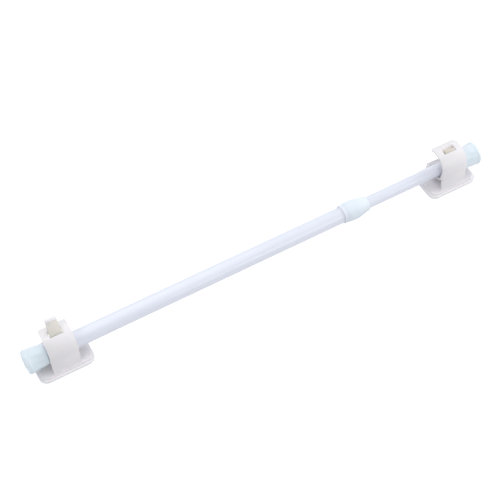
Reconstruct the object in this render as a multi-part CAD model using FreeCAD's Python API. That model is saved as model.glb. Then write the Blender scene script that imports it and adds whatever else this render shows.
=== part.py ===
import FreeCAD, Part
import math
import os

# A spring tension rod for a light curtain, lying in its two stick-on clip brackets.
# All sizes are in millimetres. X runs along the rod, Z points up, and the brackets stand on Z = 0.
# The origin is at the middle of the footprint: halfway between the rod's ends, under the bracket plates.

# Rod, overall
rod_length = 378.4
rod_height = 16.5
rod_y = -0.5
outer_diameter = 12.7
inner_diameter = 9.5
outer_wall = 0.5
inner_wall = 0.5

# Rubber end caps, the same outside at both ends
cap_length = 15.7
cap_rim_diameter = 18.5
cap_rim_length = 3.6
cap_shoulder_diameter = 16.8
cap_neck_diameter = 14.8
cap_end_wall = 3.0
cap_edge_radius = 1.6
cap_dimple_diameter = 10.0
cap_dimple_depth = 0.8

# Collar at the mouth of the outer tube
collar_start = 66.8
collar_length = 22.7
collar_diameter = 15.4
collar_ring_length = 2.6
collar_ring_diameter = 14.8
collar_groove_length = 1.0
collar_groove_diameter = 14.0
collar_taper_length = 5.6
collar_mouth_diameter = 11.6
collar_bush_length = 9.0
bush_clearance = 0.08

# Spring and twist lock, hidden in the outer tube
lock_free_run = 57.4
plug_flange_length = 6.0
plug_spigot_length = 10.0
plug_clearance = 0.08
spring_length = 48.0
spring_wire = 0.9
spring_turns = 11
spring_clearance = 0.5
washer_thickness = 1.0
washer_clearance = 0.2
sleeve_length = 16.0
sleeve_clearance = 0.05
sleeve_slot_width = 1.0
sleeve_slot_length = 11.0
sleeve_slots = 4
sleeve_web = 1.3
cone_length = 10.0
cone_taper = 1.2
cone_tail = 3.0
cone_gap = 0.1
spindle_diameter = 4.0
spindle_flats = 3.6
spindle_tip = 3.0
spindle_bore_clearance = 0.08
clip_gap = 0.2
clip_diameter = 7.4
clip_thickness = 0.8
clip_groove_depth = 0.5
clip_opening = 2.2

# Clip brackets
cap_to_bracket = 0.2
plate_length = 42.0
plate_depth = 29.0
plate_corner_radius = 6.0
flange_thickness = 1.7
step_width = 1.9
step_thickness = 1.2
plate_edge_radius = 0.5
pad_thickness = 0.9
pad_inset = 0.5
jaw_width = 21.0
jaw_radius = 10.3
jaw_offset_y = 3.1
jaw_offset_z = 4.9
jaw_wall_top = 1.9
jaw_wall_bottom = 2.8
seat_clearance = 0.15
jaw_back_angle = -45.0
front_leg_foot_y = -11.9
front_leg_wall = 2.4
crease_above_rod = 1.9
rear_leg_foot_y = 12.4
rear_leg_wall = 2.4
lip_angle = 76.0
lip_reach = 6.6
lip_tip_wall = 1.25
lip_corner_radius = 1.5

# Grip tongues, which pass up through the slots in the jaws
tongue_width = 9.4
tongue_thickness = 2.0
tongue_lean = 38.0
tongue_length = 16.6
tongue_shown = 11.0
tongue_proud = 0.1
tongue_tip_taper = 0.5
tongue_head_length = 2.4
tongue_head_front = 0.5
tongue_head_back = 1.4
tongue_head_radius = 0.5
tooth_pitch = 1.5
tooth_depth = 0.25
slot_side_clearance = 0.3
slot_face_clearance = 0.1
slot_y = 1.0

# Values worked out from the sizes above
outer_radius = outer_diameter / 2
inner_radius = inner_diameter / 2
bore_radius = outer_radius - outer_wall
inner_bore_radius = inner_radius - inner_wall
left_end = -rod_length / 2
right_end = rod_length / 2
collar_end = collar_start + collar_length
outer_tube_end = collar_end - collar_bush_length
inner_tube_end = right_end - cap_end_wall
spindle_start = left_end + cap_end_wall + lock_free_run
sleeve_start = spindle_start + spindle_tip + cone_tail
washer_start = sleeve_start + sleeve_length
spring_start = washer_start + washer_thickness
plug_start = spring_start + spring_length
inner_tube_start = plug_start + plug_flange_length
spigot_end = inner_tube_start + plug_spigot_length
sleeve_radius = bore_radius - sleeve_clearance
cone_radius = sleeve_radius - sleeve_web
spindle_radius = spindle_diameter / 2
clip_start = spigot_end + clip_gap
spindle_end = clip_start + clip_thickness + spindle_tip
plate_z = pad_thickness
flange_top = plate_z + flange_thickness
platform_top = flange_top + step_thickness
jaw_y = rod_y + jaw_offset_y
crease_height = rod_height + crease_above_rod
jaw_z = rod_height + jaw_offset_z
jaw_shift = (jaw_wall_bottom - jaw_wall_top) / 2
jaw_outer_radius = jaw_radius + (jaw_wall_bottom + jaw_wall_top) / 2
jaw_outer_y = jaw_y - jaw_shift
jaw_outer_z = jaw_z - jaw_shift
jaw_top = jaw_outer_z + jaw_outer_radius
lean = math.radians(tongue_lean)
slot_width = tongue_width + 2 * slot_side_clearance
head_front = tongue_thickness / 2 + tongue_head_front
head_back = tongue_thickness / 2 + tongue_head_back
slot_depth = head_front + head_back + 2 * slot_face_clearance
slot_mouth_z = jaw_outer_z + math.sqrt(jaw_outer_radius ** 2 - (slot_y - jaw_outer_y) ** 2)
bracket_inset = cap_length + cap_to_bracket + jaw_width / 2
left_x = left_end + bracket_inset
right_x = right_end - bracket_inset


def turned(profile, y=rod_y, z=rod_height):
    """Revolve a closed outline about the rod's axis. Each entry is a point (x, radius), or a pair of
    points, which is an arc through the first point to the second."""
    edges = []
    here = FreeCAD.Vector(profile[0][0], 0, profile[0][1])
    for entry in profile[1:] + [profile[0]]:
        if isinstance(entry[0], tuple):
            middle = FreeCAD.Vector(entry[0][0], 0, entry[0][1])
            there = FreeCAD.Vector(entry[1][0], 0, entry[1][1])
            edges.append(Part.Arc(here, middle, there).toShape())
        else:
            there = FreeCAD.Vector(entry[0], 0, entry[1])
            edges.append(Part.makeLine(here, there))
        here = there
    face = Part.Face(Part.Wire(edges))
    solid = face.revolve(FreeCAD.Vector(0, 0, 0), FreeCAD.Vector(1, 0, 0), 360)
    solid.translate(FreeCAD.Vector(0, y, z))
    return solid


def rod_cylinder(start, length, radius):
    """A plain cylinder on the rod's axis."""
    return Part.makeCylinder(radius, length, FreeCAD.Vector(start, rod_y, rod_height),
                             FreeCAD.Vector(1, 0, 0))


def tube(start, end, radius, bore):
    """A straight tube on the rod's axis."""
    length = end - start
    return rod_cylinder(start, length, radius).cut(rod_cylinder(start, length, bore))


def rod_hexagon(start, length, flats):
    """A hexagonal bar on the rod's axis, given across its flats."""
    corner = flats / math.sqrt(3)
    points = []
    for index in range(7):
        angle = math.radians(60 * index)
        points.append(FreeCAD.Vector(start, rod_y + corner * math.cos(angle),
                                     rod_height + corner * math.sin(angle)))
    return Part.Face(Part.makePolygon(points)).extrude(FreeCAD.Vector(length, 0, 0))


def slab(points, x_middle, width):
    """A prism along X from an outline of (y, z) points."""
    x_start = x_middle - width / 2
    corners = [FreeCAD.Vector(x_start, y, z) for y, z in points]
    return Part.Face(Part.makePolygon(corners + [corners[0]])).extrude(FreeCAD.Vector(width, 0, 0))


def cross_cylinder(x_middle, width, y, z, radius):
    """A cylinder along X, centred on x_middle."""
    return Part.makeCylinder(radius, width, FreeCAD.Vector(x_middle - width / 2, y, z),
                             FreeCAD.Vector(1, 0, 0))


def end_cap(bore):
    """A rubber cap for the right end, moulded with a rolled rim and a neck that narrows inwards."""
    rim_radius = cap_rim_diameter / 2
    shoulder = cap_shoulder_diameter / 2
    neck = cap_neck_diameter / 2
    start = right_end - cap_length
    rim_start = right_end - cap_rim_length
    edge = cap_edge_radius
    corner = edge * (1 - math.sqrt(0.5))
    outline = [(start, 0), (start, neck), (rim_start, shoulder),
               ((rim_start + 0.3 * (rim_radius - shoulder), shoulder + 0.7 * (rim_radius - shoulder)),
                (rim_start + rim_radius - shoulder, rim_radius)),
               (right_end - edge, rim_radius),
               ((right_end - corner, rim_radius - corner), (right_end, rim_radius - edge)),
               (right_end, 0)]
    cap = turned(outline)
    cap = cap.cut(rod_cylinder(start, cap_length - cap_end_wall, bore))
    dimple = cap_dimple_diameter / 2
    return cap.cut(turned([(right_end, 0), (right_end, dimple), (right_end - cap_dimple_depth, dimple - 1),
                           (right_end - cap_dimple_depth, 0)]))


def mirrored(shape):
    """The same piece turned end for end about the middle of the rod."""
    return shape.mirror(FreeCAD.Vector(0, 0, 0), FreeCAD.Vector(1, 0, 0))


def collar():
    """The plastic collar pressed on the outer tube's mouth, with a bush that guides the inner tube."""
    body = collar_diameter / 2
    ring = collar_ring_diameter / 2
    groove = collar_groove_diameter / 2
    mouth = collar_mouth_diameter / 2
    ring_end = collar_start + collar_ring_length
    groove_end = ring_end + collar_groove_length
    taper_start = collar_end - collar_taper_length
    middle_x = taper_start + 0.62 * collar_taper_length
    middle_r = mouth + 0.62 * (body - mouth)
    outline = [(collar_start, 0), (collar_start, ring - 0.4), (collar_start + 0.4, ring),
               (ring_end - 0.3, ring), (ring_end, groove), (groove_end, groove),
               (groove_end + 0.7, body), (taper_start, body),
               ((middle_x, middle_r), (collar_end, mouth)), (collar_end, 0)]
    shape = turned(outline)
    shape = shape.cut(rod_cylinder(collar_start, collar_length - collar_bush_length, outer_radius))
    return shape.cut(rod_cylinder(collar_start, collar_length, inner_radius + bush_clearance))


def guide_plug():
    """The nylon plug in the inner tube's hidden end. It slides in the outer tube and on the spindle."""
    flange = rod_cylinder(plug_start, plug_flange_length, bore_radius - plug_clearance)
    spigot = rod_cylinder(inner_tube_start, plug_spigot_length, inner_bore_radius)
    plug = flange.fuse(spigot).removeSplitter()
    return plug.cut(rod_hexagon(plug_start, plug_flange_length + plug_spigot_length,
                                spindle_flats + 2 * spindle_bore_clearance))


def spindle():
    """The steel spindle: round and threaded in the lock, hexagonal where the guide plug turns it."""
    thread = rod_cylinder(spindle_start, spring_start - spindle_start, spindle_radius)
    bar = rod_hexagon(spring_start, spindle_end - spring_start, spindle_flats)
    groove = tube(clip_start, clip_start + clip_thickness, spindle_diameter,
                  spindle_flats / 2 - clip_groove_depth)
    return thread.fuse(bar).cut(groove)


def spindle_clip():
    """The snap ring that keeps the spindle in the inner tube."""
    ring = tube(clip_start, clip_start + clip_thickness, clip_diameter / 2,
                spindle_flats / 2 - clip_groove_depth)
    gap = Part.makeBox(clip_thickness, clip_opening, clip_diameter,
                       FreeCAD.Vector(clip_start, rod_y - clip_opening / 2, rod_height))
    return ring.cut(gap)


def push_spring():
    """The compression spring: round wire wound as a helix about the spindle."""
    wire_radius = spring_wire / 2
    coil_radius = bore_radius - spring_clearance - wire_radius
    height = spring_length - spring_wire
    helix = Part.makeHelix(height / spring_turns, height, coil_radius)
    circle = Part.Wire(Part.makeCircle(wire_radius, FreeCAD.Vector(coil_radius, 0, 0),
                                       FreeCAD.Vector(0, 1, 0)))
    coil = Part.Wire(helix).makePipeShell([circle], True, True)
    coil.rotate(FreeCAD.Vector(0, 0, 0), FreeCAD.Vector(0, 1, 0), 90)
    coil.translate(FreeCAD.Vector(spring_start + wire_radius, rod_y, rod_height))
    return coil


def thrust_washer():
    """The steel washer between the spring and the lock sleeve."""
    return tube(washer_start, spring_start, bore_radius - washer_clearance,
                spindle_radius + spindle_bore_clearance)


def lock_sleeve():
    """The split nylon sleeve that a cone spreads against the outer tube's bore."""
    shape = rod_cylinder(sleeve_start, sleeve_length, sleeve_radius)
    mouth = cone_radius + cone_gap
    shape = shape.cut(turned([(sleeve_start, 0), (sleeve_start, mouth),
                              (sleeve_start + cone_length, mouth - cone_taper),
                              (sleeve_start + cone_length, 0)]))
    shape = shape.cut(rod_cylinder(sleeve_start, sleeve_length, spindle_radius + spindle_bore_clearance))
    for index in range(sleeve_slots):
        slot = Part.makeBox(sleeve_slot_length, sleeve_slot_width, sleeve_radius * 1.5,
                            FreeCAD.Vector(sleeve_start, rod_y - sleeve_slot_width / 2, rod_height))
        slot.rotate(FreeCAD.Vector(0, rod_y, rod_height), FreeCAD.Vector(1, 0, 0),
                    (index + 0.5) * 360 / sleeve_slots)
        shape = shape.cut(slot)
    return shape


def lock_cone():
    """The cone nut that the spindle's thread draws into the sleeve."""
    tail = sleeve_start - cone_tail
    tip = sleeve_start + cone_length - cone_gap
    shape = turned([(tail, 0), (tail, cone_radius), (sleeve_start, cone_radius),
                    (tip, cone_radius - cone_taper), (tip, 0)])
    return shape.cut(rod_cylinder(tail, cone_length + cone_tail, spindle_radius + spindle_bore_clearance))


def rounded_plate(x_middle, length, depth, radius, z, thickness):
    """A flat plate with round corners, standing at height z."""
    box = Part.makeBox(length, depth, thickness, FreeCAD.Vector(x_middle - length / 2, -depth / 2, z))
    upright = [edge for edge in box.Edges
               if abs(edge.Vertexes[0].Z - edge.Vertexes[1].Z) > thickness / 2]
    return box.makeFillet(radius, upright)


def eased_top(plate, top, radius):
    """The plate with its upper rim rounded."""
    rim = [edge for edge in plate.Edges if all(abs(v.Z - top) < 1e-6 for v in edge.Vertexes)]
    return plate.makeFillet(radius, rim)


def base_plate(x_middle):
    """The bracket's foot: a thin flange with a raised platform on it."""
    flange = eased_top(rounded_plate(x_middle, plate_length, plate_depth, plate_corner_radius,
                                     plate_z, flange_thickness), flange_top, plate_edge_radius)
    inner = 2 * step_width
    platform = rounded_plate(x_middle, plate_length - inner, plate_depth - inner,
                             plate_corner_radius - step_width, flange_top - plate_edge_radius,
                             step_thickness + plate_edge_radius)
    return flange.fuse(eased_top(platform, platform_top, plate_edge_radius))


def jaw_space(x_middle, width):
    """The hollow of the jaw: a round mouth above and a closer seat for the rod below."""
    mouth = cross_cylinder(x_middle, width, jaw_y, jaw_z, jaw_radius)
    seat = cross_cylinder(x_middle, width, rod_y, rod_height, outer_radius + seat_clearance)
    return mouth.fuse(seat)


def on_ring(y, z, radius, angle):
    """The point (y, z) on a circle at an angle from the Y axis, in degrees."""
    turn = math.radians(angle)
    return (y + radius * math.cos(turn), z + radius * math.sin(turn))


def jaw_ring(x_middle):
    """The C-shaped ring of the jaw, open at the back, thin at the top and thicker below."""
    ring = cross_cylinder(x_middle, jaw_width, jaw_outer_y, jaw_outer_z, jaw_outer_radius)
    reach = 2 * jaw_outer_radius
    middle = (jaw_back_angle + lip_angle) / 2
    wedge = slab([(jaw_y, jaw_z), on_ring(jaw_y, jaw_z, reach, jaw_back_angle),
                  on_ring(jaw_y, jaw_z, reach, middle), on_ring(jaw_y, jaw_z, reach, lip_angle)],
                 x_middle, jaw_width)
    return ring.cut(wedge)


def front_leg(x_middle):
    """The front leg, from the platform up to the crease where it meets the ring."""
    bottom = platform_top - plate_edge_radius
    rise = jaw_outer_z - crease_height
    crease_y = jaw_outer_y - math.sqrt(jaw_outer_radius ** 2 - rise ** 2)
    return slab([(front_leg_foot_y, bottom), (front_leg_foot_y + front_leg_wall, bottom),
                 (crease_y + front_leg_wall, rod_height), (crease_y + front_leg_wall, crease_height),
                 (crease_y, crease_height)], x_middle, jaw_width)


def rear_leg(x_middle):
    """The rear leg, from the platform up to the open end of the ring."""
    bottom = platform_top - plate_edge_radius
    top = on_ring(jaw_outer_y, jaw_outer_z, jaw_outer_radius, jaw_back_angle)
    seat = on_ring(jaw_outer_y, jaw_outer_z, jaw_outer_radius, jaw_back_angle - 14)
    return slab([(rear_leg_foot_y - rear_leg_wall, bottom), (rear_leg_foot_y, bottom), top,
                 on_ring(jaw_y, jaw_z, jaw_radius + jaw_wall_bottom / 2, jaw_back_angle), seat],
                x_middle, jaw_width)


def thumb_lip(x_middle):
    """The flat lip that runs back from the top of the ring, thinner at its tip, with round corners."""
    tip_y = jaw_y + lip_reach
    root = on_ring(jaw_y, jaw_z, jaw_radius, lip_angle)
    turn = math.radians(lip_angle)
    run = (tip_y - root[0]) / math.sin(turn)
    tip = (tip_y, root[1] - run * math.cos(turn))
    tip_top = (tip_y + lip_tip_wall * math.cos(turn), tip[1] + lip_tip_wall * math.sin(turn))
    lip = slab([root, tip, tip_top, on_ring(jaw_outer_y, jaw_outer_z, jaw_outer_radius, lip_angle)],
               x_middle, jaw_width)
    corners = [edge for edge in lip.Edges if min(v.Y for v in edge.Vertexes) > tip_y - 1e-6
               and abs(edge.Vertexes[0].X - edge.Vertexes[1].X) < 1e-6]
    return lip.makeFillet(lip_corner_radius, corners)


def jaw(x_middle):
    """The jaw with its two legs and the thumb lip, hollowed for the rod."""
    shape = jaw_ring(x_middle).fuse(front_leg(x_middle)).fuse(rear_leg(x_middle))
    return shape.cut(jaw_space(x_middle, jaw_width)).fuse(thumb_lip(x_middle))


def tongue_frame(x_middle, shape):
    """Lean a piece built upright about the origin and set it in the slot, at the jaw's outer face."""
    shape.rotate(FreeCAD.Vector(0, 0, 0), FreeCAD.Vector(1, 0, 0), -tongue_lean)
    shape.translate(FreeCAD.Vector(x_middle, slot_y, slot_mouth_z))
    return shape


def bracket(x_middle):
    """One clip bracket, moulded in one piece, with the slot for its grip tongue."""
    shape = base_plate(x_middle).fuse(jaw(x_middle)).removeSplitter()
    slot = Part.makeBox(slot_width, slot_depth, 4 * jaw_wall_bottom,
                        FreeCAD.Vector(-slot_width / 2, -head_front - slot_face_clearance,
                                       -2 * jaw_wall_bottom))
    return shape.cut(tongue_frame(x_middle, slot))


def foam_pad(x_middle):
    """The double-sided foam pad under the plate."""
    return rounded_plate(x_middle, plate_length - 2 * pad_inset, plate_depth - 2 * pad_inset,
                         plate_corner_radius - pad_inset, 0, pad_thickness)


def tongue_strip(top, length):
    """The straight strip of a grip tongue, built upright: teeth in front and a bead at the top."""
    half = tongue_width / 2
    back = tongue_thickness / 2
    tip = half - tongue_tip_taper
    outline = [(-half, top - length), (half, top - length), (tip, top), (-tip, top)]
    corners = [FreeCAD.Vector(x, -back, z) for x, z in outline]
    strip = Part.Face(Part.makePolygon(corners + [corners[0]])).extrude(
        FreeCAD.Vector(0, tongue_thickness, 0))
    head = Part.makeBox(2 * tip, head_front + head_back, tongue_head_length,
                        FreeCAD.Vector(-tip, -head_front, top - tongue_head_length))
    across = [edge for edge in head.Edges if abs(edge.Vertexes[0].X - edge.Vertexes[1].X) > tip]
    head = head.makeFillet(tongue_head_radius, across)
    strip = strip.fuse(head).removeSplitter()
    count = int((length - tongue_head_length) / tooth_pitch)
    for index in range(count):
        z = top - tongue_head_length - index * tooth_pitch
        notch = Part.Face(Part.makePolygon([
            FreeCAD.Vector(-half, -back, z), FreeCAD.Vector(-half, -back + tooth_depth, z - tooth_depth),
            FreeCAD.Vector(-half, -back, z - tooth_pitch * 0.8), FreeCAD.Vector(-half, -back, z)]))
        strip = strip.cut(notch.extrude(FreeCAD.Vector(tongue_width, 0, 0)))
    return strip


def raised_tongue(x_middle):
    """The left tongue, which stands up through the slot because the thick tube fills the seat."""
    return tongue_frame(x_middle, tongue_strip(tongue_shown, tongue_length))


def bent_tongue(x_middle):
    """The right tongue, drawn in round the thin tube: straight in the slot, then bent along the jaw."""
    across = -math.sin(lean)
    along = math.cos(lean)
    from_jaw = (slot_y - jaw_y) * -along + (slot_mouth_z - jaw_z) * -across
    bend_below = (slot_y - jaw_y) * -across + (slot_mouth_z - jaw_z) * along
    straight = bend_below + tongue_proud
    upper = tongue_frame(x_middle, tongue_strip(tongue_proud, straight))
    arc_length = tongue_length - straight
    start = 180 - tongue_lean
    sweep = math.degrees(arc_length / from_jaw)
    outer = from_jaw + tongue_thickness / 2
    inner = from_jaw - tongue_thickness / 2
    bend = cross_cylinder(x_middle, tongue_width, jaw_y, jaw_z, outer).cut(
        cross_cylinder(x_middle, tongue_width, jaw_y, jaw_z, inner))
    reach = 3 * outer
    corners = [(jaw_y, jaw_z)]
    for step in range(5):
        angle = math.radians(start + sweep * step / 4)
        corners.append((jaw_y + reach * math.cos(angle), jaw_z + reach * math.sin(angle)))
    return upper.fuse(bend.common(slab(corners, x_middle, tongue_width))).removeSplitter()


nodes = {
    "outer_tube": tube(left_end + cap_end_wall, outer_tube_end, outer_radius, bore_radius),
    "inner_tube": tube(inner_tube_start, inner_tube_end, inner_radius, inner_bore_radius),
    "collar": collar(),
    "left_end_cap": mirrored(end_cap(outer_radius)),
    "right_end_cap": end_cap(inner_radius),
    "guide_plug": guide_plug(),
    "spindle": spindle(),
    "spindle_clip": spindle_clip(),
    "push_spring": push_spring(),
    "thrust_washer": thrust_washer(),
    "lock_sleeve": lock_sleeve(),
    "lock_cone": lock_cone(),
    "left_bracket": bracket(left_x),
    "left_foam_pad": foam_pad(left_x),
    "left_grip_tongue": raised_tongue(left_x),
    "right_bracket": bracket(right_x),
    "right_foam_pad": foam_pad(right_x),
    "right_grip_tongue": bent_tongue(right_x),
}

os.makedirs("parts", exist_ok=True)
for name, shape in nodes.items():
    shape.exportStep("parts/" + name + ".step")
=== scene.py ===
import math

import bmesh
import bpy
import numpy as np
from bpy.props import FloatProperty, FloatVectorProperty, IntProperty, PointerProperty
from bpy.types import Operator, Panel, PropertyGroup
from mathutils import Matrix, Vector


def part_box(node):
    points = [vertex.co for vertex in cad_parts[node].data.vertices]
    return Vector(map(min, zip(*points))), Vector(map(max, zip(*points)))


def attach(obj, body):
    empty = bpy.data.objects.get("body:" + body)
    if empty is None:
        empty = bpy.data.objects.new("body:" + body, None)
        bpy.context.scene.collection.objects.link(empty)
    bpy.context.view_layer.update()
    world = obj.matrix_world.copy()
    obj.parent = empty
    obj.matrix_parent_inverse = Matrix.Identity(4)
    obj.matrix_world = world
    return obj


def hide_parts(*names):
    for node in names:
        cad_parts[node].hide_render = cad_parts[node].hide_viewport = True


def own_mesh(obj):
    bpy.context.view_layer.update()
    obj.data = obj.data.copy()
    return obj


bl_info = {
    "name": "Sprung Curtain Rod",
    "version": (1, 0, 0),
    "blender": (4, 5, 0),
    "location": "View3D > Sidebar > Curtain Rod",
    "description": "Dresses a sprung curtain rod and its two stick-on clip brackets",
    "category": "Object",
}

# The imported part, and the sizes that the pieces below take from it, in metres.
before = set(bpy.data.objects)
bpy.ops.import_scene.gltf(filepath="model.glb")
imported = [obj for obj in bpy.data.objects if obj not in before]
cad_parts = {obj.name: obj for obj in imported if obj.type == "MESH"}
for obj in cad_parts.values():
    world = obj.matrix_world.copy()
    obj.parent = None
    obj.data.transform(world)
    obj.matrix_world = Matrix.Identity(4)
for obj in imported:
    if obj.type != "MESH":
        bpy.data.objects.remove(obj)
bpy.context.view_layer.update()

CAP_LOW, CAP_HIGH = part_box("right_end_cap")
THIN_LOW, THIN_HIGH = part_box("inner_tube")
THICK_LOW, THICK_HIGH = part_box("outer_tube")
COLLAR_LOW, COLLAR_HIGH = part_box("collar")
AXIS_Y = (CAP_LOW.y + CAP_HIGH.y) / 2
AXIS_Z = (CAP_LOW.z + CAP_HIGH.z) / 2
THIN_RADIUS = (THIN_HIGH.z - THIN_LOW.z) / 2
THICK_RADIUS = (THICK_HIGH.z - THICK_LOW.z) / 2

# The raised tongue's lean from upright, as the slot of its bracket has it, and the length of its bead.
TONGUE_LEAN = math.radians(38)
BEAD_LENGTH = 0.0024

# The collar's bore: its gap round the thin tube, the chamfer at its mouth, how far the narrow stretch
# reaches, and how much wider than the thick tube the bore is at the back.
BORE_GAP = 0.0001
BORE_CHAMFER = 0.0003
BORE_LENGTH = 0.009
BACK_GAP = 0.0002

# The collar's ring keeps its radius up to this far from the groove.
RING_HOLD = 0.0002

# Where colours change: from the collar's back, above the floor where the foot plates are painted lighter as
# painted light, and up and down from the tongue's bead, with its painted highlight and painted shade.
COLLAR_FADE = (0.001, 0.005)
FOOT_LIGHT_FADE = (0.004, 0.008)
BEAD_HIGHLIGHT_FADE = 0.0008
TONGUE_SHADE_FADE = 0.008

# The roughness of the finishes. The plastics go from the first value to the second with their flow marks.
SATIN = (0.32, 0.46)
COLLAR_SATIN = (0.42, 0.55)
TONGUE_MATT = (0.5, 0.65)
STEEL_POLISH = 0.28
BRASS_POLISH = 0.24

# Points round the turned pieces and the pads. The caps have twelve for each of their ten ribs.
CAP_STEPS = 120
COLLAR_STEPS = 128
PAD_STEPS = 128

# How near two points are to be one, in a CAD mesh and in a surface made here.
CAD_MERGE = 2e-6
GRID_MERGE = 1e-7

# Faces of a copy that turn by less than the flat angle are joined, and edges over the sharp one rounded.
FLAT_ANGLE = math.radians(0.6)
SHARP_ANGLE = math.radians(35)

# The photograph's camera: its place in metres, its turn in degrees, its lens and sensor in millimetres.
CAMERA_PLACE = (-0.2658, -0.4554, 0.76053)
CAMERA_TURN = (35.3684, 0.2496, -29.6141)
CAMERA_LENS = 90.0
CAMERA_SENSOR = 36.0

# The soft lamps: where each one stands, and its power in watts.
LAMP_SIZE = 1.2
LAMPS = (("over_lamp", (0, 0, 2.0), 7.7),
         ("rear_lamp", (0, 1.3, 1.55), 7.7),
         ("left_lamp", (-1.45, -0.2, 1.4), 5.8),
         ("right_lamp", (1.9, -0.3, 0.6), 20.0))

# The long window that shows in the tubes' gloss and lights nothing else: place, length, height, power.
WINDOW_PLACE = (0.7, -1.62, 0.8)
WINDOW_LENGTH = 0.75
WINDOW_HEIGHT = 0.14
WINDOW_POWER = 5.0

# The floor: half its width, its drop below the pads, and its glow where the camera or a gloss looks.
FLOOR_HALF = 3.0
FLOOR_DROP = 0.0002
FLOOR_GLOW = 0.6

# The surroundings: their tint, their strength as a light, and their strength as the camera sees them.
WORLD_TINT = (0.97, 0.98, 1.0)
WORLD_LIGHT = 0.62
WORLD_SEEN = 1.06

# The colour sockets of a Mix node, which have the names of its other sockets too.
MIX_LOW, MIX_HIGH, MIX_RESULT = 6, 7, 2

# The range that a cloudy noise seldom leaves.
NOISE_LOW, NOISE_HIGH = 0.25, 0.75


class CapSizes(PropertyGroup):
    """The soft end caps."""

    neck_radius: FloatProperty(
        name="Neck radius", description="Outside of the cap where it leaves the bracket",
        default=0.0077, unit="LENGTH")
    shoulder_radius: FloatProperty(
        name="Shoulder radius", description="Outside of the cap just before its rolled rim",
        default=0.0089, unit="LENGTH")
    mouth_edge: FloatProperty(
        name="Mouth edge", description="Rounding of the cap's mouth",
        default=0.0004, unit="LENGTH")
    rim_length: FloatProperty(
        name="Rim length", description="Length of the rolled rim at the free end",
        default=0.0036, unit="LENGTH")
    rim_edge: FloatProperty(
        name="Rim edge", description="Rounding of the rim's edge",
        default=0.0022, unit="LENGTH")
    end_wall: FloatProperty(
        name="End wall", description="Thickness of the cap beyond the tube's end",
        default=0.003, unit="LENGTH")
    dimple_radius: FloatProperty(
        name="Dimple radius", description="Outside of the dimple in the end face",
        default=0.0052, unit="LENGTH")
    dimple_slope: FloatProperty(
        name="Dimple slope", description="Width of the dimple's sloping wall",
        default=0.0012, unit="LENGTH")
    dimple_depth: FloatProperty(
        name="Dimple depth", description="Depth of the dimple below the end face",
        default=0.0008, unit="LENGTH")
    rib_count: IntProperty(
        name="Ribs", description="Soft ribs round the cap's neck", default=10, min=3, max=40)
    rib_depth: FloatProperty(
        name="Rib depth", description="How far the ribs stand out of the neck",
        default=0.00016, unit="LENGTH")
    rib_start: FloatProperty(
        name="Rib start", description="Plain length between the cap's mouth and its ribs",
        default=0.001, unit="LENGTH")


class CollarSizes(PropertyGroup):
    """The collar at the mouth of the thick tube."""

    ring_length: FloatProperty(
        name="Ring length", description="Length of the plain ring at the collar's back",
        default=0.0026, unit="LENGTH")
    ring_rounding: FloatProperty(
        name="Ring rounding", description="Rounding where the ring rises from the tube",
        default=0.0005, unit="LENGTH")
    groove_length: FloatProperty(
        name="Groove length", description="Length of the groove behind the grip",
        default=0.001, unit="LENGTH")
    groove_depth: FloatProperty(
        name="Groove depth", description="Depth of the groove below the ring",
        default=0.0002, unit="LENGTH")
    ring_drop: FloatProperty(
        name="Ring drop", description="How far the ring lies below the grip's crown",
        default=0.0006, unit="LENGTH")
    crown_rise: FloatProperty(
        name="Crown rise", description="How far the grip swells from the groove to its crown",
        default=0.0004, unit="LENGTH")
    crown_length: FloatProperty(
        name="Crown length", description="Length over which the grip swells",
        default=0.0045, unit="LENGTH")
    nose_length: FloatProperty(
        name="Nose length", description="Length of the tapered nose",
        default=0.0103, unit="LENGTH")
    nose_bow: FloatProperty(
        name="Nose bow", description="1 gives the nose a straight taper, and more swells it out",
        default=1.1, min=1, max=3)
    nose_edge: FloatProperty(
        name="Nose edge", description="Length of the rounding at the nose's end",
        default=0.0015, unit="LENGTH")
    mouth_radius: FloatProperty(
        name="Mouth radius", description="Outside of the nose before its rounded end",
        default=0.0059, unit="LENGTH")


class BracketSizes(PropertyGroup):
    """The moulded brackets, their tongues and their pads."""

    edge_radius: FloatProperty(
        name="Edge radius", description="Rounding of the brackets' moulded edges",
        default=0.00035, unit="LENGTH")
    edge_steps: IntProperty(
        name="Edge steps", description="Steps in the rounding of the brackets' edges",
        default=3, min=1, max=6)
    tongue_edge: FloatProperty(
        name="Tongue edge", description="Rounding of the tongues' edges",
        default=0.0001, unit="LENGTH")
    tongue_edge_steps: IntProperty(
        name="Tongue edge steps", description="Steps in the rounding of the tongues' edges",
        default=2, min=1, max=6)
    pad_corner: FloatProperty(
        name="Pad corner", description="Rounding of the foam pad's corners, seen from above",
        default=0.0055, unit="LENGTH")
    pad_edge: FloatProperty(
        name="Pad edge", description="Rounding of the foam pad's edge",
        default=0.0003, unit="LENGTH")


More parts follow.
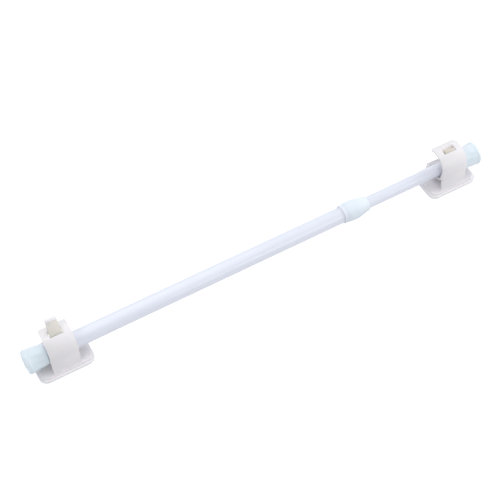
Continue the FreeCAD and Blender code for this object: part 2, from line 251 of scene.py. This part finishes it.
class RodColours(PropertyGroup):
    """The colours of the finishes, with painted light on the foot plates and a painted highlight and painted
    shade on the tongues.
    """

    tube: FloatVectorProperty(
        name="Tube", description="Enamel of the tubes", subtype="COLOR",
        default=(0.74, 0.77, 0.86), size=3, min=0, max=1)
    cap: FloatVectorProperty(
        name="End cap", description="Soft plastic of the end caps", subtype="COLOR",
        default=(0.74, 0.83, 0.89), size=3, min=0, max=1)
    collar: FloatVectorProperty(
        name="Collar", description="Plastic of the collar", subtype="COLOR",
        default=(0.73, 0.80, 0.865), size=3, min=0, max=1)
    bracket: FloatVectorProperty(
        name="Bracket", description="Plastic of the brackets", subtype="COLOR",
        default=(0.795, 0.778, 0.797), size=3, min=0, max=1)
    # Painted light: the brackets' plastic made paler on the foot plates, for the light that falls there.
    plate_light: FloatVectorProperty(
        name="Foot plate", description="Plastic of the brackets' foot plates", subtype="COLOR",
        default=(0.835, 0.815, 0.838), size=3, min=0, max=1)
    # Partly painted shade: the tongue's own beige plastic, darkened where it runs low down towards the slot.
    tongue: FloatVectorProperty(
        name="Grip tongue", description="Plastic of the raised tongue low down", subtype="COLOR",
        default=(0.74, 0.71, 0.65), size=3, min=0, max=1)
    # Painted light: the tongue painted paler just below its bead than low down.
    tongue_lit_top: FloatVectorProperty(
        name="Tongue top", description="Plastic of the raised tongue below its bead", subtype="COLOR",
        default=(0.785, 0.755, 0.72), size=3, min=0, max=1)
    # Painted highlight: the bead's colour lifted nearly to white where it catches the light.
    bead_highlight: FloatVectorProperty(
        name="Tongue bead", description="Plastic of the raised tongue's bead", subtype="COLOR",
        default=(0.86, 0.85, 0.87), size=3, min=0, max=1)
    # Painted shade: the same plastic as the raised tongue, painted darker and warmer for the shade of the
    # slot it sits in.
    drawn_tongue: FloatVectorProperty(
        name="Drawn tongue", description="Plastic of the tongue that is drawn in", subtype="COLOR",
        default=(0.69, 0.63, 0.55), size=3, min=0, max=1)
    foam: FloatVectorProperty(
        name="Foam", description="Foam tape of the pads", subtype="COLOR",
        default=(0.78, 0.78, 0.76), size=3, min=0, max=1)
    steel: FloatVectorProperty(
        name="Steel", description="Drawn steel of the spring and the spindle", subtype="COLOR",
        default=(0.56, 0.57, 0.60), size=3, min=0, max=1)
    brass: FloatVectorProperty(
        name="Brass", description="Turned brass of the lock's cone", subtype="COLOR",
        default=(0.72, 0.52, 0.22), size=3, min=0, max=1)
    nylon: FloatVectorProperty(
        name="Nylon", description="Natural nylon of the lock's sleeve and the plug", subtype="COLOR",
        default=(0.78, 0.77, 0.70), size=3, min=0, max=1)
    floor: FloatVectorProperty(
        name="Floor", description="Pale floor under the rod", subtype="COLOR",
        default=(0.74, 0.74, 0.75), size=3, min=0, max=1)


def tinted(colour, factor):
    """A colour made lighter or darker by a factor, with a full alpha."""
    return (*[min(1.0, part * factor) for part in colour], 1.0)


class NodeBuilder:
    """Adds nodes to a material, and feeds their inputs with values or with other nodes' outputs."""

    def __init__(self, name):
        self.material = bpy.data.materials.new(name)
        self.material.use_nodes = True
        self.tree = self.material.node_tree
        self.shader = self.tree.nodes["Principled BSDF"]
        self.place = self.add("ShaderNodeTexCoord")

    def feed(self, socket, value):
        """Joins a computed socket to an input, or sets a constant on it."""
        if isinstance(value, bpy.types.NodeSocket):
            self.tree.links.new(value, socket)
        else:
            socket.default_value = value

    def add(self, kind, inputs=None, **settings):
        """A new node with its settings, and its inputs fed by their names or numbers."""
        node = self.tree.nodes.new(kind)
        for key, value in settings.items():
            setattr(node, key, value)
        for key, value in (inputs or {}).items():
            self.feed(node.inputs[key], value)
        return node

    def into(self, name, value):
        """Feeds an input of the material's shader."""
        self.feed(self.shader.inputs[name], value)

    def noise(self, scale, stretch=(1, 1, 1), detail=3.0, roughness=0.5):
        """Cloudy noise on the piece's own coordinates. A stretch under 1 draws it out along that axis."""
        mapping = self.add("ShaderNodeMapping", {"Vector": self.place.outputs["Object"],
                                                 "Scale": stretch})
        return self.add("ShaderNodeTexNoise", {"Vector": mapping.outputs["Vector"], "Scale": scale,
                                               "Detail": detail, "Roughness": roughness}).outputs["Fac"]

    def mixed(self, factor, low, high):
        """A colour that goes from low to high, both colours or sockets, with a 0 to 1 factor."""
        return self.add("ShaderNodeMix", {"Factor": factor, MIX_LOW: low, MIX_HIGH: high},
                        data_type="RGBA").outputs[MIX_RESULT]

    def marbled(self, pattern, colour, low, high):
        """A colour that is tinted by low where a 0 to 1 pattern is 0, and by high where it is 1."""
        return self.mixed(pattern, tinted(colour, low), tinted(colour, high))

    def ranged(self, noise, low, high):
        """A value that goes from low to high with a noise."""
        return self.add("ShaderNodeMapRange", {"Value": noise, "From Min": NOISE_LOW, "From Max": NOISE_HIGH,
                                               "To Min": low, "To Max": high}).outputs["Result"]

    def faded(self, colour, end_colour, axis, start, gone):
        """A colour that comes in from end_colour between two places along an axis, a unit vector. Both
        colours are sockets."""
        along = self.add("ShaderNodeVectorMath", {0: self.place.outputs["Object"], 1: axis},
                         operation="DOT_PRODUCT")
        share = self.add("ShaderNodeMapRange", {"Value": along.outputs["Value"], "From Min": start,
                                                "From Max": gone}, interpolation_type="SMOOTHSTEP")
        return self.mixed(share.outputs["Result"], end_colour, colour)

    def bump(self, height, strength, distance, normal=None):
        """A normal that follows a height, on top of another normal if there is one."""
        inputs = {"Height": height, "Strength": strength, "Distance": distance}
        if normal is not None:
            inputs["Normal"] = normal
        return self.add("ShaderNodeBump", inputs).outputs["Normal"]

    def depth(self, weight, radius, scale):
        """Lets light in under the surface: how much of it, each colour's share of the depth, and the depth
        in metres."""
        self.into("Subsurface Weight", weight)
        self.into("Subsurface Radius", radius)
        self.into("Subsurface Scale", scale)


def enamel(name, colour):
    """Stove enamel on drawn tube: faint lengthwise draw lines, an orange-peel skin and a clear gloss."""
    made = NodeBuilder(name)
    cloud = made.noise(scale=60, stretch=(0.3, 1, 1))
    lines = made.noise(scale=900, stretch=(0.02, 1, 1), detail=2)
    peel = made.noise(scale=1400, detail=1)
    drawn = made.bump(lines, strength=0.1, distance=0.00005)
    made.into("Base Color", made.marbled(cloud, colour, 0.975, 1.02))
    made.into("Roughness", made.ranged(lines, 0.26, 0.36))
    made.into("Normal", made.bump(peel, strength=0.12, distance=0.00005, normal=drawn))
    made.into("Specular IOR Level", 0.5)
    made.into("Coat Weight", 0.35)
    made.into("Coat Roughness", 0.06)
    return made.material


def soft_plastic(name, colour):
    """Soft vinyl: milky depth, cloudy tint, and a fine skin that scatters the light."""
    made = NodeBuilder(name)
    cloud = made.noise(scale=160, detail=4, roughness=0.6)
    skin = made.noise(scale=2600, detail=2)
    made.into("Base Color", made.marbled(cloud, colour, 0.93, 1.05))
    made.into("Roughness", made.ranged(cloud, 0.34, 0.5))
    made.into("Normal", made.bump(skin, strength=0.2, distance=0.00004))
    made.depth(weight=0.25, radius=(0.6, 1.0, 1.0), scale=0.0015)
    return made.material


def moulded_plastic(name, colour, roughness=SATIN, fades=()):
    """Injection-moulded plastic: slight flow marks, a fine satin skin and a little depth. Each fade is
    the colour at one end of the piece, the axis it runs along, and where it starts and has gone."""
    made = NodeBuilder(name)
    flow = made.noise(scale=90, stretch=(1, 0.6, 1.6), detail=3, roughness=0.55)
    skin = made.noise(scale=3000, detail=2)
    waves = made.bump(flow, strength=0.04, distance=0.0004)

    def marked(shade):
        return made.marbled(flow, shade, 0.965, 1.03)

    body = marked(colour)
    for end_colour, *stretch in fades:
        body = made.faded(body, marked(end_colour), *stretch)
    made.into("Base Color", body)
    made.into("Roughness", made.ranged(flow, *roughness))
    made.into("Normal", made.bump(skin, strength=0.15, distance=0.00003, normal=waves))
    made.depth(weight=0.12, radius=(1.0, 0.8, 0.6), scale=0.001)
    return made.material


def closed_cell_foam(name, colour):
    """Foam tape: round cells pressed in as hollows, with painted shade darkening each one towards its
    middle, on a matt ground.
    """
    made = NodeBuilder(name)
    cells = made.add("ShaderNodeTexVoronoi", {"Vector": made.place.outputs["Object"], "Scale": 2600.0})
    pits_and_shade = cells.outputs["Distance"]
    # Painted shade: each cell's colour darkens towards its middle, where the hollow is deepest.
    made.into("Base Color", made.marbled(pits_and_shade, colour, 0.82, 1.03))
    made.into("Roughness", 0.9)
    made.into("Normal", made.bump(pits_and_shade, strength=0.5, distance=0.0001))
    return made.material


def bright_metal(name, colour, roughness):
    """Drawn or turned metal: fine lines round the axis and small stains in the polish."""
    made = NodeBuilder(name)
    turned = made.noise(scale=2400, stretch=(1, 0.15, 0.15), detail=2)
    stain = made.noise(scale=240, detail=4, roughness=0.6)
    made.into("Base Color", made.marbled(stain, colour, 0.86, 1.08))
    made.into("Metallic", 1.0)
    made.into("Roughness", made.ranged(turned, roughness * 0.8, roughness * 1.3))
    made.into("Normal", made.bump(turned, strength=0.2, distance=0.00004))
    return made.material


def finish(name, maker, *values):
    """The named material, made once."""
    found = bpy.data.materials.get(name)
    return found or maker(name, *values)


def tube_enamel():
    return finish("tube_enamel", enamel, bpy.context.scene.rod_colours.tube)


def cap_vinyl():
    return finish("cap_vinyl", soft_plastic, bpy.context.scene.rod_colours.cap)


def collar_plastic():
    """The collar's plastic, which thins to the tube's white on its ring."""
    colours = bpy.context.scene.rod_colours
    start, gone = (COLLAR_LOW.x + along for along in COLLAR_FADE)
    return finish("collar_plastic", moulded_plastic, colours.collar, COLLAR_SATIN,
                  [(colours.tube, (1, 0, 0), start, gone)])


def bracket_plastic():
    """The brackets' plastic, painted a little paler on the foot plates than on the jaw: painted light that
    stands in for the light falling on the foot plates.
    """
    colours = bpy.context.scene.rod_colours
    return finish("bracket_plastic", moulded_plastic, colours.bracket, SATIN,
                  [(colours.plate_light, (0, 0, 1), *FOOT_LIGHT_FADE)])


def reach_along(node, axis):
    """How far a CAD node reaches along an axis, a unit vector."""
    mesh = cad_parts[node].data
    points = np.empty(len(mesh.vertices) * 3)
    mesh.vertices.foreach_get("co", points)
    return float((points.reshape(-1, 3) @ np.array(axis)).max())


def raised_tongue_plastic():
    """The raised tongue's plastic with painted light along it: its beige is darkened by painted shade low
    down towards the slot, painted paler up towards its bead, and painted nearly white on the bead as a
    painted highlight.
    """
    colours = bpy.context.scene.rod_colours
    lean = (0, math.sin(TONGUE_LEAN), math.cos(TONGUE_LEAN))
    bead = reach_along("left_grip_tongue", lean) - BEAD_LENGTH
    # A painted highlight on the bead, a paler painted band below it, and painted shade fading in towards the
    # slot.
    return finish("raised_tongue_plastic", moulded_plastic, colours.bead_highlight, TONGUE_MATT,
                  [(colours.tongue_lit_top, lean, bead, bead + BEAD_HIGHLIGHT_FADE),
                   (colours.tongue, lean, bead - TONGUE_SHADE_FADE, bead)])


def drawn_tongue_plastic():
    # Painted shade: a darker, warmer copy of the tongue's plastic for the shade inside the slot.
    return finish("drawn_tongue_plastic", moulded_plastic, bpy.context.scene.rod_colours.drawn_tongue,
                  TONGUE_MATT)


def foam_tape():
    return finish("foam_tape", closed_cell_foam, bpy.context.scene.rod_colours.foam)


def drawn_steel():
    return finish("drawn_steel", bright_metal, bpy.context.scene.rod_colours.steel, STEEL_POLISH)


def turned_brass():
    return finish("turned_brass", bright_metal, bpy.context.scene.rod_colours.brass, BRASS_POLISH)


def natural_nylon():
    return finish("natural_nylon", moulded_plastic, bpy.context.scene.rod_colours.nylon)


def paint_node(node, material):
    """Gives a CAD node its finish, and leaves its mesh alone."""
    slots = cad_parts[node].data.materials
    slots.clear()
    slots.append(material)


def finish_mesh(name, mesh, body, material, node):
    """Puts a made mesh in the scene: it rides on its body and stands for its CAD node."""
    mesh.materials.append(material)
    piece = bpy.data.objects.new(name, mesh)
    bpy.context.scene.collection.objects.link(piece)
    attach(piece, body)
    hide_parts(node)
    return piece


def write_smooth(work, mesh):
    """Shades the faces smooth and puts them into the mesh."""
    for face in work.faces:
        face.smooth = True
    work.to_mesh(mesh)
    work.free()


def grid_surface(name, points, closed_rows=False):
    """A mesh on a grid of points (rows, columns, 3). Neighbours are joined by four-sided faces, the last
    column is joined to the first, and the last row too where the rows are closed. Points that meet are
    merged, faces with no area are dropped, and the rest are turned outwards."""
    rows, columns = points.shape[:2]
    number = np.arange(rows * columns).reshape(rows, columns)
    number = np.concatenate([number, number[:, :1]], 1)
    if closed_rows:
        number = np.concatenate([number, number[:1]], 0)
    faces = np.stack([number[:-1, :-1], number[:-1, 1:], number[1:, 1:], number[1:, :-1]], -1)
    mesh = bpy.data.meshes.new(name)
    mesh.from_pydata(points.reshape(-1, 3).tolist(), [], faces.reshape(-1, 4).tolist())
    work = bmesh.new()
    work.from_mesh(mesh)
    bmesh.ops.remove_doubles(work, verts=work.verts, dist=GRID_MERGE)
    bmesh.ops.dissolve_degenerate(work, edges=work.edges, dist=GRID_MERGE)
    bmesh.ops.recalc_face_normals(work, faces=work.faces)
    write_smooth(work, mesh)
    return mesh


def turned_points(along, radius, steps, ribs=None):
    """A profile turned about the rod: row i lies at along[i] on the rod and radius[i] from its axis, and
    column j at an even angle. ribs, if given, is added to the radius at each row and column."""
    angle = np.linspace(0, 2 * np.pi, steps, endpoint=False)
    reach = radius[:, None] + (0 if ribs is None else ribs(along[:, None], angle[None, :]))
    x = np.repeat(along[:, None], steps, 1)
    return np.stack([x, AXIS_Y + reach * np.cos(angle), AXIS_Z + reach * np.sin(angle)], -1)


def corner(x, r, size, start, end, steps=7):
    """Points on a quarter round of the given size about (x, r), from one angle to another in degrees."""
    angle = np.radians(np.linspace(start, end, steps))
    return np.stack([x + size * np.cos(angle), r + size * np.sin(angle)], -1)


def eased(t):
    """The S-curve 3t^2 - 2t^3, flat at both ends."""
    return t * t * (3 - 2 * t)


def cap_profile(sizes, bore):
    """The end cap from the bottom of its bore, out over its mouth and neck, round the rim and in to the
    middle of the dimple. The neck is a cone, the rim rises along a quarter of a sine, its edge is a
    quarter round, and the dimple's wall is an S-curve."""
    start, end = CAP_LOW.x, CAP_HIGH.x
    rim = (CAP_HIGH.z - CAP_LOW.z) / 2
    lip = sizes.mouth_edge
    edge = sizes.rim_edge
    rim_start = end - sizes.rim_length
    widening = np.linspace(0, 1, 24)
    neck = np.stack([start + lip + (rim_start - start - lip) * widening,
                     sizes.neck_radius + (sizes.shoulder_radius - sizes.neck_radius) * widening], -1)
    roll = np.linspace(0, 1, 12)[1:]
    bell = np.stack([rim_start + (end - edge - rim_start) * roll,
                     sizes.shoulder_radius + (rim - sizes.shoulder_radius) * np.sin(roll * np.pi / 2)], -1)
    hollow = np.linspace(0, 1, 9)
    dimple = np.stack([end - sizes.dimple_depth * eased(hollow),
                       sizes.dimple_radius - sizes.dimple_slope * hollow], -1)
    bottom, floor_radius = dimple[-1]
    return np.concatenate([
        [[end - sizes.end_wall, 0], [end - sizes.end_wall, bore]],
        [[start + lip / 2, bore], [start, bore + lip / 2]],
        corner(start + lip, sizes.neck_radius - lip, lip, 180, 90),
        neck[1:], bell, corner(end - edge, rim - edge, edge, 80, 0, 9),
        dimple, [[bottom, floor_radius / 2], [bottom, 0]]])


def cap_ribs(sizes):
    """Soft ribs along the cap's neck: a cosine round the cap, faded in and out along it by a sine
    squared."""
    start, end = CAP_LOW.x + sizes.rib_start, CAP_HIGH.x - sizes.rim_length

    def height(along, angle):
        share = np.clip((along - start) / (end - start), 0, 1)
        return sizes.rib_depth * np.sin(np.pi * share) ** 2 * np.cos(sizes.rib_count * angle)

    return height


def make_cap(name, node, body, bore, side):
    """One end cap. side is 1 for the right end, and -1 turns the cap end for end."""
    sizes = bpy.context.scene.cap_sizes
    profile = cap_profile(sizes, bore)
    ribs = cap_ribs(sizes)
    outside = profile[:, 1] > bore

    def skin(along, angle):
        return ribs(along, angle) * outside[:, None]

    points = turned_points(profile[:, 0], profile[:, 1], CAP_STEPS, skin)
    points[..., 0] *= side
    mesh = grid_surface(name, points)
    return finish_mesh(name, mesh, body, cap_vinyl(), node)


class CURTAINROD_OT_end_caps(Operator):
    """Make the two soft end caps as turned surfaces with a rolled rim"""

    bl_idname = "curtainrod.end_caps"
    bl_label = "End Caps"

    def execute(self, context):
        make_cap("left_cap", "left_end_cap", "outer_half", THICK_RADIUS, -1)
        make_cap("right_cap", "right_end_cap", "inner_half", THIN_RADIUS, 1)
        return {"FINISHED"}


class CURTAINROD_OT_tubes(Operator):
    """Give the two tubes their enamel"""

    bl_idname = "curtainrod.tubes"
    bl_label = "Tubes"

    def execute(self, context):
        for node in ("outer_tube", "inner_tube"):
            paint_node(node, tube_enamel())
        return {"FINISHED"}


def collar_profile(sizes):
    """The collar as a closed outline: the ring, the groove, the grip, the nose and the bore. The groove is
    a valley of |cos|, the grip swells along a quarter of a sine, the nose is nearly a cone and its end is
    a quarter of an ellipse."""
    start, end = COLLAR_LOW.x, COLLAR_HIGH.x
    grip = (COLLAR_HIGH.z - COLLAR_LOW.z) / 2
    ring = grip - sizes.ring_drop
    foot = grip - sizes.crown_rise
    groove = ring - sizes.groove_depth
    bore = THIN_RADIUS + BORE_GAP
    mouth = bore + BORE_CHAMFER
    ring_end = start + sizes.ring_length
    groove_end = ring_end + sizes.groove_length
    share = np.linspace(0, 1, 9)
    side = np.where(share < 0.5, ring, foot)
    dip = np.stack([ring_end + sizes.groove_length * share,
                    groove + (side - groove) * np.abs(np.cos(np.pi * share))], -1)
    rise = share[1:]
    crown = np.stack([groove_end + sizes.crown_length * rise,
                      foot + sizes.crown_rise * np.sin(rise * np.pi / 2)], -1)
    taper = np.linspace(0, 1, 16)
    nose = np.stack([end - sizes.nose_length + (sizes.nose_length - sizes.nose_edge) * taper,
                     grip - (grip - sizes.mouth_radius) * taper ** sizes.nose_bow], -1)
    turn = rise * np.pi / 2
    edge = np.stack([end - sizes.nose_edge * (1 - np.sin(turn)),
                     mouth + (sizes.mouth_radius - mouth) * np.cos(turn)], -1)
    return np.concatenate([
        [[start, THICK_RADIUS + BACK_GAP]],
        corner(start + sizes.ring_rounding, ring - sizes.ring_rounding, sizes.ring_rounding, 180, 90),
        [[ring_end - RING_HOLD, ring]], dip, crown, nose, edge,
        [[end - BORE_CHAMFER, bore], [end - BORE_LENGTH, bore], [end - BORE_LENGTH, THICK_RADIUS]]])


class CURTAINROD_OT_collar(Operator):
    """Make the collar as a turned surface with its ring, groove and tapered nose"""

    bl_idname = "curtainrod.collar"
    bl_label = "Collar"

    def execute(self, context):
        profile = collar_profile(context.scene.collar_sizes)
        points = turned_points(profile[:, 0], profile[:, 1], COLLAR_STEPS)
        mesh = grid_surface("tube_collar", points, closed_rows=True)
        finish_mesh("tube_collar", mesh, "outer_half", collar_plastic(), "collar")
        return {"FINISHED"}


def merged_copy(name, node, flat=0.0):
    """A copy of a CAD node's mesh with its doubled points merged, and its faces joined where they turn by
    less than the flat angle."""
    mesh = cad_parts[node].data.copy()
    mesh.name = name
    mesh.materials.clear()
    work = bmesh.new()
    work.from_mesh(mesh)
    bmesh.ops.remove_doubles(work, verts=work.verts, dist=CAD_MERGE)
    if flat:
        bmesh.ops.dissolve_limit(work, angle_limit=flat, verts=work.verts, edges=work.edges)
    write_smooth(work, mesh)
    return mesh


def softened_copy(name, node, body, material, width, steps):
    """A copy of a CAD node with its sharp edges rounded as a mould leaves them."""
    mesh = merged_copy(name, node, FLAT_ANGLE)
    piece = finish_mesh(name, mesh, body, material, node)
    bevel = piece.modifiers.new("moulded_edges", "BEVEL")
    bevel.width = width
    bevel.segments = steps
    bevel.limit_method = "ANGLE"
    bevel.angle_limit = SHARP_ANGLE
    bevel.harden_normals = True
    return piece


class CURTAINROD_OT_brackets(Operator):
    """Make the two clip brackets with the soft edges of a moulding"""

    bl_idname = "curtainrod.brackets"
    bl_label = "Brackets"

    def execute(self, context):
        sizes = context.scene.bracket_sizes
        for side, body in (("left", "outer_half"), ("right", "right_end")):
            softened_copy(side + "_clip_bracket", side + "_bracket", body,
                          bracket_plastic(), sizes.edge_radius, sizes.edge_steps)
        return {"FINISHED"}


class CURTAINROD_OT_tongues(Operator):
    """Make the two grip tongues, the raised one and the drawn one"""

    bl_idname = "curtainrod.tongues"
    bl_label = "Grip Tongues"

    def execute(self, context):
        sizes = context.scene.bracket_sizes
        for side, body, material in (("left", "left_tongue", raised_tongue_plastic()),
                                     ("right", "right_end", drawn_tongue_plastic())):
            softened_copy(side + "_tongue", side + "_grip_tongue", body, material,
                          sizes.tongue_edge, sizes.tongue_edge_steps)
        return {"FINISHED"}


def pad_points(low, high, corner_radius, edge):
    """A flat pad with a rounded-rectangle outline and a rounded edge. The outline is a rectangle pushed
    out by a circle. Each row draws it in from the middle of the underside, round the edge and back to
    the middle of the top."""
    angle = np.linspace(0, 2 * np.pi, PAD_STEPS, endpoint=False)
    round_part = np.stack([np.cos(angle), np.sin(angle)], -1)
    middle = (np.array(low) + np.array(high)) / 2
    half = (np.array(high) - np.array(low)) / 2
    turn = np.linspace(-np.pi / 2, np.pi / 2, 9)
    inset = np.concatenate([[1.0, 0.5], edge * (1 - np.cos(turn)) / half[1], [0.5, 1.0]])
    under = low[2] + edge * (1 + np.sin(turn))
    over = high[2] - edge * (1 - np.sin(turn))
    lift = np.concatenate([[low[2], low[2]], np.where(turn < 0, under, over), [high[2], high[2]]])
    straight = half[:2] - corner_radius
    outline = np.sign(np.round(round_part, 9)) * straight + corner_radius * round_part
    flat = middle[:2] + (1 - inset)[:, None, None] * outline[None]
    return np.concatenate([flat, np.repeat(lift[:, None, None], PAD_STEPS, 1)], -1)


class CURTAINROD_OT_pads(Operator):
    """Make the foam pads under the brackets"""

    bl_idname = "curtainrod.pads"
    bl_label = "Foam Pads"

    def execute(self, context):
        sizes = context.scene.bracket_sizes
        for side, body in (("left", "outer_half"), ("right", "right_end")):
            node = side + "_foam_pad"
            low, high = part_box(node)
            mesh = grid_surface(side + "_pad", pad_points(low, high, sizes.pad_corner, sizes.pad_edge))
            piece = finish_mesh(side + "_pad", mesh, body, foam_tape(), node)
        return {"FINISHED"}


class CURTAINROD_OT_push_spring(Operator):
    """Make the push spring as a merged copy of its CAD mesh, riding on the lock"""

    bl_idname = "curtainrod.push_spring"
    bl_label = "Push Spring"

    def execute(self, context):
        mesh = merged_copy("coil", "push_spring")
        coil = finish_mesh("coil", mesh, "lock", drawn_steel(), "push_spring")
        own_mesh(coil)
        return {"FINISHED"}


class CURTAINROD_OT_inner_works(Operator):
    """Give the twist lock inside the thick tube its finishes"""

    bl_idname = "curtainrod.inner_works"
    bl_label = "Twist Lock"

    def execute(self, context):
        for node in ("spindle", "spindle_clip", "thrust_washer"):
            paint_node(node, drawn_steel())
        for node in ("lock_sleeve", "guide_plug"):
            paint_node(node, natural_nylon())
        paint_node("lock_cone", turned_brass())
        return {"FINISHED"}


def studio_floor(colour):
    """A pale floor that the camera sees as white away from the rod, and that keeps the rod's shadow."""
    made = NodeBuilder("studio_floor")
    made.into("Base Color", (*colour, 1))
    made.into("Roughness", 0.9)
    made.into("Specular IOR Level", 0.1)
    path = made.add("ShaderNodeLightPath")
    seen = made.add("ShaderNodeMath", {0: path.outputs["Is Camera Ray"],
                                       1: path.outputs["Is Glossy Ray"]}, operation="MAXIMUM")
    glow = made.add("ShaderNodeEmission", {"Color": (1, 1, 1, 1), "Strength": FLOOR_GLOW})
    shown = made.add("ShaderNodeMixShader", {"Fac": seen.outputs["Value"], 2: glow.outputs["Emission"]})
    both = made.add("ShaderNodeAddShader", {0: made.shader.outputs["BSDF"],
                                            1: shown.outputs["Shader"]})
    made.feed(made.tree.nodes["Material Output"].inputs["Surface"], both.outputs["Shader"])
    return made.material


def lay_floor(colour):
    """The floor: one flat square just below the pads."""
    corners = [(x * FLOOR_HALF, y * FLOOR_HALF, -FLOOR_DROP)
               for x, y in ((-1, -1), (1, -1), (1, 1), (-1, 1))]
    mesh = bpy.data.meshes.new("studio_floor")
    mesh.from_pydata(corners, [], [(0, 1, 2, 3)])
    mesh.materials.append(studio_floor(colour))
    floor = bpy.data.objects.new("studio_floor", mesh)
    bpy.context.scene.collection.objects.link(floor)


def studio_world():
    """Soft white surroundings: dim for lighting, and plain white where the camera looks."""
    world = bpy.data.worlds.new("studio_surroundings")
    bpy.context.scene.world = world
    world.use_nodes = True
    tree = world.node_tree
    ground = tree.nodes["Background"]
    ground.inputs["Color"].default_value = (*WORLD_TINT, 1)
    path = tree.nodes.new("ShaderNodeLightPath")
    seen = tree.nodes.new("ShaderNodeMapRange")
    seen.inputs["To Min"].default_value = WORLD_LIGHT
    seen.inputs["To Max"].default_value = WORLD_SEEN
    tree.links.new(path.outputs["Is Camera Ray"], seen.inputs["Value"])
    tree.links.new(seen.outputs["Result"], ground.inputs["Strength"])


def soft_lamp(name, place, power, length, height):
    """A soft rectangular lamp, turned towards the floor under the middle of the rod."""
    data = bpy.data.lights.new(name, "AREA")
    data.shape = "RECTANGLE"
    data.size = length
    data.size_y = height
    data.energy = power
    lamp = bpy.data.objects.new(name, data)
    lamp.location = place
    x, y, z = place
    lamp.rotation_euler = (math.atan2(math.hypot(x, y), z), 0, math.atan2(y, x) + math.pi / 2)
    bpy.context.scene.collection.objects.link(lamp)
    return lamp


def stand_camera():
    """The photograph's camera."""
    data = bpy.data.cameras.new("photo_camera")
    data.lens = CAMERA_LENS
    data.sensor_width = CAMERA_SENSOR
    data.clip_start = 0.01
    data.clip_end = 20
    camera = bpy.data.objects.new("photo_camera", data)
    camera.location = CAMERA_PLACE
    camera.rotation_euler = [math.radians(turn) for turn in CAMERA_TURN]
    bpy.context.scene.collection.objects.link(camera)
    bpy.context.scene.camera = camera


class CURTAINROD_OT_stage(Operator):
    """Make the pale floor, the soft lamps and the photograph's camera"""

    bl_idname = "curtainrod.stage"
    bl_label = "Stage"

    def execute(self, context):
        lay_floor(context.scene.rod_colours.floor)
        studio_world()
        for name, place, power in LAMPS:
            soft_lamp(name, place, power, LAMP_SIZE, LAMP_SIZE)
        window = soft_lamp("window", WINDOW_PLACE, WINDOW_POWER, WINDOW_LENGTH, WINDOW_HEIGHT)
        window.visible_diffuse = False
        stand_camera()
        context.scene.view_settings.view_transform = "Standard"
        return {"FINISHED"}


class CURTAINROD_PT_panel(Panel):
    """Lists the steps that dress the rod"""

    bl_idname = "CURTAINROD_PT_panel"
    bl_label = "Curtain Rod"
    bl_space_type = "VIEW_3D"
    bl_region_type = "UI"
    bl_category = "Curtain Rod"

    def draw(self, context):
        layout = self.layout
        for step in STEPS:
            layout.operator(step.bl_idname)
        for key, group in GROUPS.items():
            box = layout.box()
            values = getattr(context.scene, key)
            for value in group.__annotations__:
                box.prop(values, value)


STEPS = (CURTAINROD_OT_stage, CURTAINROD_OT_tubes, CURTAINROD_OT_collar, CURTAINROD_OT_end_caps,
         CURTAINROD_OT_brackets, CURTAINROD_OT_tongues, CURTAINROD_OT_pads, CURTAINROD_OT_push_spring,
         CURTAINROD_OT_inner_works)
GROUPS = {"cap_sizes": CapSizes, "collar_sizes": CollarSizes, "bracket_sizes": BracketSizes,
          "rod_colours": RodColours}
CLASSES = (*GROUPS.values(), *STEPS, CURTAINROD_PT_panel)


def register():
    for made in CLASSES:
        bpy.utils.register_class(made)
    for key, group in GROUPS.items():
        setattr(bpy.types.Scene, key, PointerProperty(type=group))


def unregister():
    for key in GROUPS:
        delattr(bpy.types.Scene, key)
    for made in reversed(CLASSES):
        bpy.utils.unregister_class(made)


def main():
    """Makes every piece."""
    register()
    bpy.ops.curtainrod.stage()
    bpy.ops.curtainrod.tubes()
    bpy.ops.curtainrod.collar()
    bpy.ops.curtainrod.end_caps()
    bpy.ops.curtainrod.brackets()
    bpy.ops.curtainrod.tongues()
    bpy.ops.curtainrod.pads()
    bpy.ops.curtainrod.push_spring()
    bpy.ops.curtainrod.inner_works()


if __name__ == "__main__":
    main()
